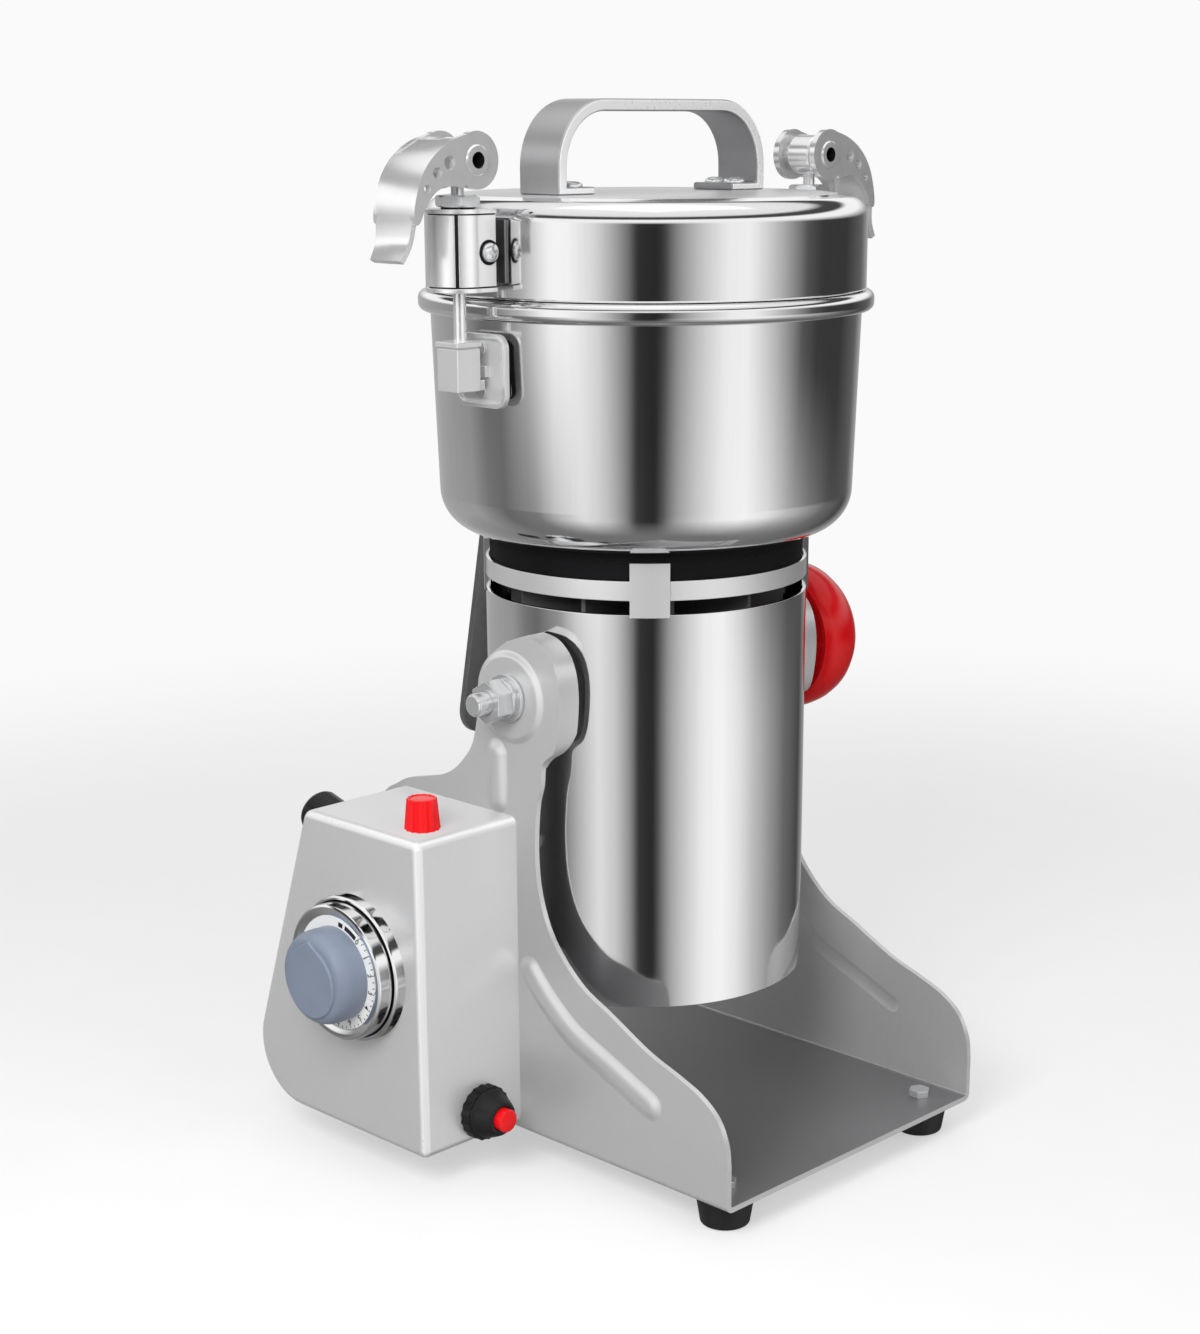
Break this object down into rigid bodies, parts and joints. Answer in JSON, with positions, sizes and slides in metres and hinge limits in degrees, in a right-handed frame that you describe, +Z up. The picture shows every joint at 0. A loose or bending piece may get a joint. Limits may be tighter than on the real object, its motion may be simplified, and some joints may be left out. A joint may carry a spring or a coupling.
{
  "type": "electric grain mill",
  "caption": "Swing-type electric grain mill: latched steel grinding bowl on a motor tube that tips forward between two cheeks, with a side box of controls.",
  "frame": {"origin": "middle of the whole outline's bounding box, on the floor under the feet", "axes": "+Z up along the motor axis; +X towards the open front of the base, the way the bowl tips to pour; -Y towards the control box and +Y towards the clamping hand knob"},
  "size_m": [0.193, 0.2532, 0.3694],
  "materials": {
    "satin_steel": "satin stainless sheet",
    "polished_steel": "polished stainless",
    "bright_plate": "bright plated",
    "zinc_steel": "zinc-plated hardware",
    "dark_steel": "dark brushed steel",
    "shaft_steel": "ground steel",
    "cast_aluminium": "cast aluminium",
    "bush_bronze": "sintered bronze",
    "core_iron": "stacked laminations",
    "winding_copper": "enamelled copper wire",
    "carbon": "graphite block",
    "phenolic": "moulded phenolic resin",
    "ivory_plastic": "moulded terminal block",
    "black_plastic": "moulded black plastic",
    "grey_plastic": "moulded fan",
    "red_plastic": "glossy red plastic",
    "knob_blue": "slate blue plastic",
    "dial_white": "printed white dial",
    "black_rubber": "black rubber",
    "white_rubber": "white silicone rubber"
  },
  "bodies": {
    "stand": {"base_frame": "satin_steel", "rubber_feet": "black_rubber", "foot_screws": "zinc_steel", "pivot_bushes": "bush_bronze", "control_box_shell": "satin_steel", "control_box_screws": "zinc_steel", "timer_bezel": "bright_plate", "timer_dial": "dial_white", "timer_body": "black_plastic", "lamp_holder": "black_plastic", "lamp_lens": "red_plastic", "breaker_body": "black_plastic", "cord_gland": "black_plastic", "gland_cap": "black_plastic", "terminal_block": "ivory_plastic"},
    "motor_unit": {"motor_housing": "polished_steel", "motor_end_cap": "cast_aluminium", "motor_screws": "zinc_steel", "bowl_seat": "cast_aluminium", "stator_core": "core_iron", "field_coils": "winding_copper", "brush_holders": "phenolic", "carbon_brushes": "carbon", "motor_bearings": "shaft_steel", "shaft_seal": "black_rubber", "bowl": "polished_steel", "latch_catches": "dark_steel", "catch_rivets": "zinc_steel", "rear_handle": "dark_steel", "rear_handle_screws": "zinc_steel", "pivot_bolt": "zinc_steel", "pivot_nuts": "zinc_steel", "lock_stud": "zinc_steel"},
    "clamp_knob": {"lock_knob": "red_plastic"},
    "rotor": {"motor_shaft": "shaft_steel", "rotor_core": "core_iron", "commutator": "winding_copper", "cooling_fan": "grey_plastic", "lower_blade": "shaft_steel", "upper_blade": "shaft_steel", "blade_spacer": "shaft_steel", "blade_nut": "zinc_steel"},
    "lid": {"lid_shell": "polished_steel", "lid_liner": "polished_steel", "lid_gasket": "white_rubber", "lid_handle": "satin_steel", "lid_handle_screws": "zinc_steel", "latch_brackets": "dark_steel"},
    "timer": {"timer_knob": "knob_blue", "timer_spindle": "shaft_steel"},
    "reset_button": {"breaker_button": "red_plastic"},
    "housing_left": {"latch_housing_left": "bright_plate", "latch_fixings_left": "zinc_steel"},
    "rod_left": {"latch_rod_left": "bright_plate"},
    "lever_left": {"latch_lever_left": "bright_plate"},
    "housing_right": {"latch_housing_right": "bright_plate", "latch_fixings_right": "zinc_steel"},
    "rod_right": {"latch_rod_right": "bright_plate"},
    "lever_right": {"latch_lever_right": "bright_plate"}
  },
  "joints": [
    {"name": "motor_swing", "type": "hinge", "parent": "stand", "child": "motor_unit", "pos_m": [-0.0055, 0.00829, 0.1715], "axis": [0, 1, 0], "range_deg": [0, 95]},
    {"name": "clamp_turn", "type": "hinge", "parent": "motor_unit", "child": "clamp_knob", "pos_m": [-0.0055, 0.00829, 0.1715], "axis": [0, 1, 0], "range_deg": [0, 270]},
    {"name": "rotor_spin", "type": "hinge", "parent": "motor_unit", "child": "rotor", "pos_m": [-0.0055, 0.00829, 0], "axis": [0, 0, 1], "continuous": true},
    {"name": "lid_lift", "type": "slide", "parent": "motor_unit", "child": "lid", "axis": [0, 0, 1], "range_m": [0, 0.12]},
    {"name": "timer_turn", "type": "hinge", "parent": "stand", "child": "timer", "pos_m": [-0.0375, -0.12671, 0.0775], "axis": [0, 1, 0], "range_deg": [0, 300]},
    {"name": "reset_press", "type": "slide", "parent": "stand", "child": "reset_button", "axis": [-1, 0, 0], "range_m": [0, 0.002], "stiffness_N_per_m": 300},
    {"name": "housing_swing_left", "type": "hinge", "parent": "lid", "child": "housing_left", "pos_m": [-0.0055, -0.07471, 0.3218], "axis": [-1, 0, 0], "range_deg": [0, 8]},
    {"name": "rod_pull_left", "type": "slide", "parent": "housing_left", "child": "rod_left", "axis": [0, 0, -1], "range_m": [0, 0.0012]},
    {"name": "lever_flip_left", "type": "hinge", "parent": "rod_left", "child": "lever_left", "pos_m": [-0.0055, -0.07871, 0.3503], "axis": [-1, 0, 0], "range_deg": [0, 115]},
    {"name": "housing_swing_right", "type": "hinge", "parent": "lid", "child": "housing_right", "pos_m": [-0.0055, 0.09129, 0.3218], "axis": [1, 0, 0], "range_deg": [0, 8]},
    {"name": "rod_pull_right", "type": "slide", "parent": "housing_right", "child": "rod_right", "axis": [0, 0, -1], "range_m": [0, 0.0012]},
    {"name": "lever_flip_right", "type": "hinge", "parent": "rod_right", "child": "lever_right", "pos_m": [-0.0055, 0.09529, 0.3503], "axis": [1, 0, 0], "range_deg": [0, 115]}
  ],
  "couplings": [
    {"joint": "rod_pull_left", "follows": "lever_flip_left", "m_per_rad": 0.000593},
    {"joint": "rod_pull_right", "follows": "lever_flip_right", "m_per_rad": 0.000593}
  ]
}
